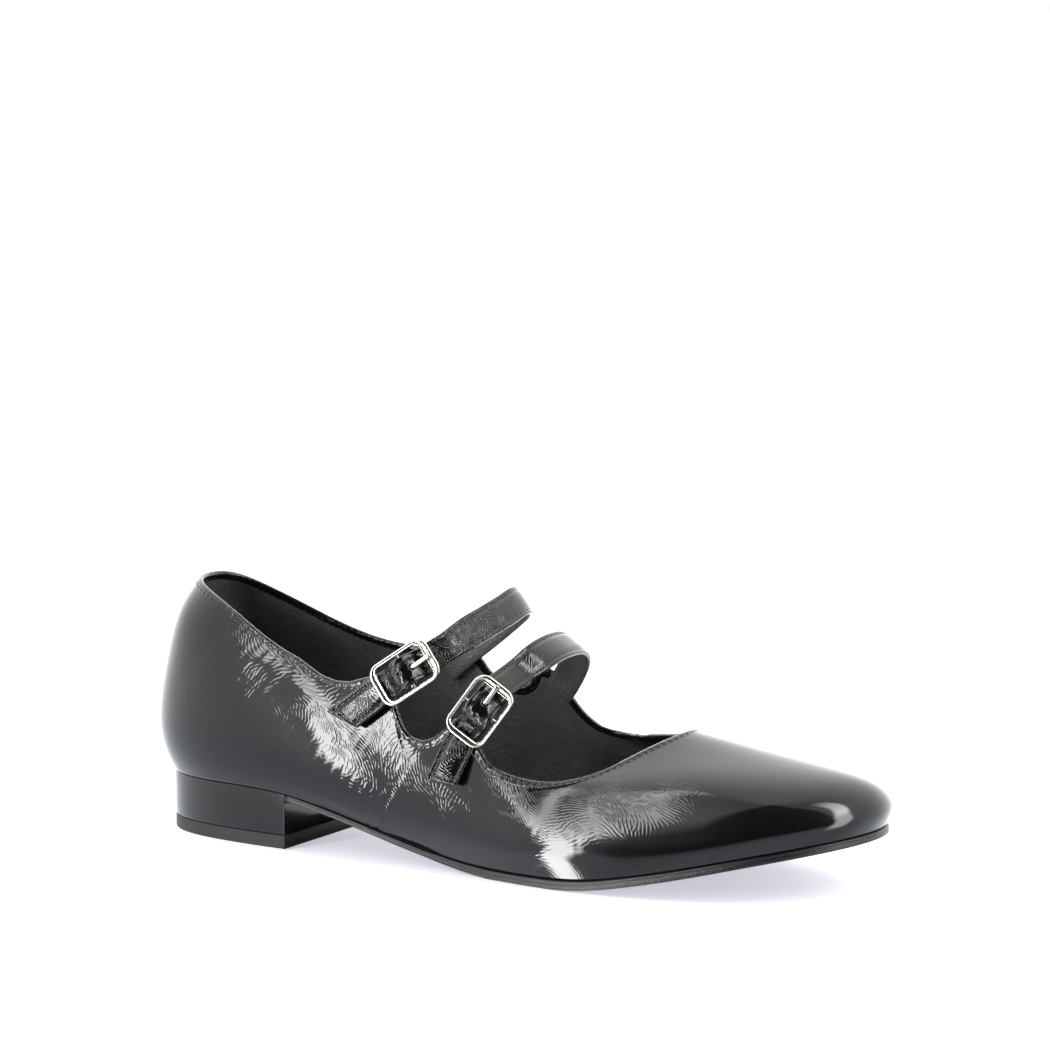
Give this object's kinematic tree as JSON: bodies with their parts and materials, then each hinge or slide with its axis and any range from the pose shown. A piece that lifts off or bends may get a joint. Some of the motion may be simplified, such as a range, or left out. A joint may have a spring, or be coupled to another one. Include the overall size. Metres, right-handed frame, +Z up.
{
  "type": "double strap mary jane shoe",
  "caption": "Right-foot low block-heel Mary Jane in crinkled black patent leather, with narrow buckled straps over the instep.",
  "frame": {"origin": "centre of the bounding box at floor level", "axes": "+X from the heel to the toe, +Y towards the inner side of the foot, +Z up from the floor"},
  "size_m": [0.2602, 0.085, 0.0869],
  "materials": {
    "upper": "black patent leather, finely crinkled, glossy",
    "insole": "black leather sock, matte",
    "outsole": "black resin rubber, matte",
    "heel_block": "black, satin gloss",
    "top_lift": "black rubber, matte",
    "strap_rear": "black patent leather, glossy",
    "strap_front": "black patent leather, glossy",
    "buckle_rear": "polished nickel plate",
    "buckle_front": "polished nickel plate",
    "prong_rear": "polished nickel plate",
    "prong_front": "polished nickel plate",
    "chape_rear": "black leather",
    "chape_front": "black leather"
  },
  "bodies": {
    "root": {"upper": "upper", "insole": "insole", "outsole": "outsole", "heel_block": "heel_block", "top_lift": "top_lift", "strap_rear": "strap_rear", "strap_front": "strap_front", "buckle_rear": "buckle_rear", "buckle_front": "buckle_front", "prong_rear": "prong_rear", "prong_front": "prong_front", "chape_rear": "chape_rear", "chape_front": "chape_front"}
  },
  "joints": []
}
